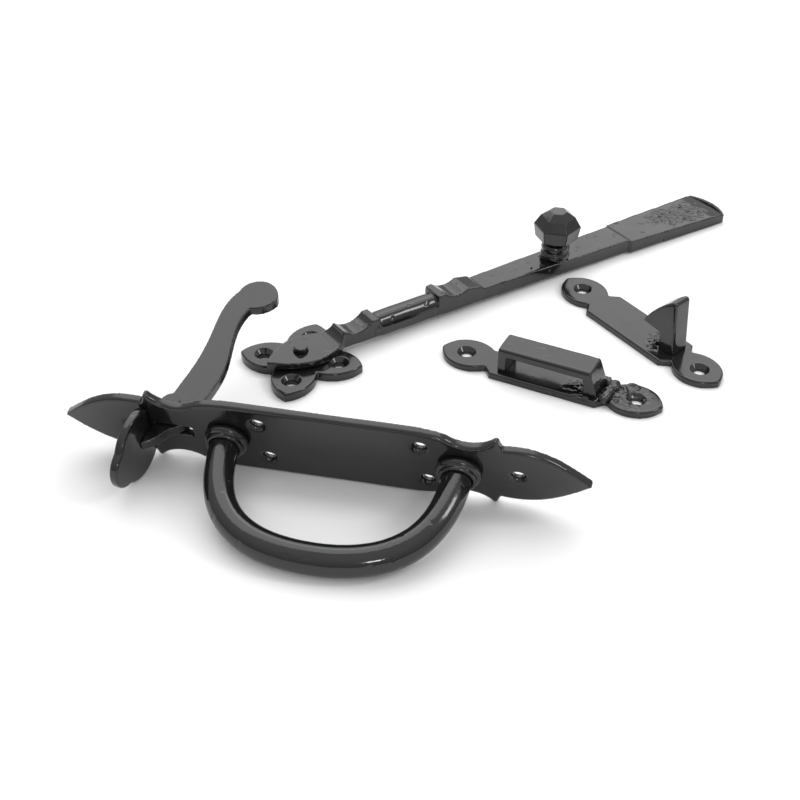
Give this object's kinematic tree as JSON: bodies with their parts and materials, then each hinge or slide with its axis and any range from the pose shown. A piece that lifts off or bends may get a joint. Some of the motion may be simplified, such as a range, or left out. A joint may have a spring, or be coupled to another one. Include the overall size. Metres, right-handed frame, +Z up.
{
  "type": "thumb latch",
  "caption": "Black iron thumb latch with D grip handle, thumb lever, pivoting latch bar with knob, keeper and hook catch, laid out loose.",
  "frame": {"origin": "bottom centre of the whole set's bounding box, on the surface it lies on", "axes": "+Z up from the surface, +X to the right along the handle plate's general direction, +Y towards the free end of the latch bar"},
  "size_m": [0.2816, 0.2672, 0.0382],
  "materials": {
    "plate_paint": "gloss black paint on cast iron plate",
    "forging_paint": "gloss black paint on forged iron",
    "pin_paint": "gloss black paint on a steel pin",
    "weld_paint": "gloss black paint over a weld bead"
  },
  "bodies": {
    "pivot_base": {"pivot_plate": "plate_paint", "pivot_rivet": "pin_paint"},
    "bar": {"latch_bar": "forging_paint", "knob_collar": "forging_paint", "knob": "forging_paint"},
    "handle": {"handle_plate": "plate_paint", "grip_handle": "forging_paint", "upper_grip_collar": "forging_paint", "lower_grip_collar": "forging_paint", "left_pivot_lug": "plate_paint", "right_pivot_lug": "plate_paint", "thumb_pivot_pin": "pin_paint"},
    "thumb_piece": {"thumb_lever": "forging_paint", "thumb_pad": "forging_paint"},
    "keeper": {"keeper_plate": "plate_paint", "keeper_bridge": "forging_paint", "keeper_weld": "weld_paint"},
    "catch": {"catch_plate": "plate_paint", "catch_hook": "forging_paint", "catch_weld": "weld_paint"}
  },
  "joints": [
    {"name": "bar_swing", "type": "hinge", "parent": "pivot_base", "child": "bar", "pos_m": [-0.05662, -0.00466, 0.0045], "axis": [0, 0, 1], "range_deg": [0, 20]},
    {"name": "handle_lift", "type": "slide", "parent": "pivot_base", "child": "handle", "axis": [0, 0, 1], "range_m": [0, 0.08]},
    {"name": "thumb_press", "type": "hinge", "parent": "handle", "child": "thumb_piece", "pos_m": [-0.09943, -0.06199, 0.01891], "axis": [-0.0533, -0.2424, 0.9687], "range_deg": [0, 20]},
    {"name": "keeper_lift", "type": "slide", "parent": "pivot_base", "child": "keeper", "axis": [0, 0, 1], "range_m": [0, 0.08]},
    {"name": "catch_lift", "type": "slide", "parent": "pivot_base", "child": "catch", "axis": [0, 0, 1], "range_m": [0, 0.08]}
  ]
}
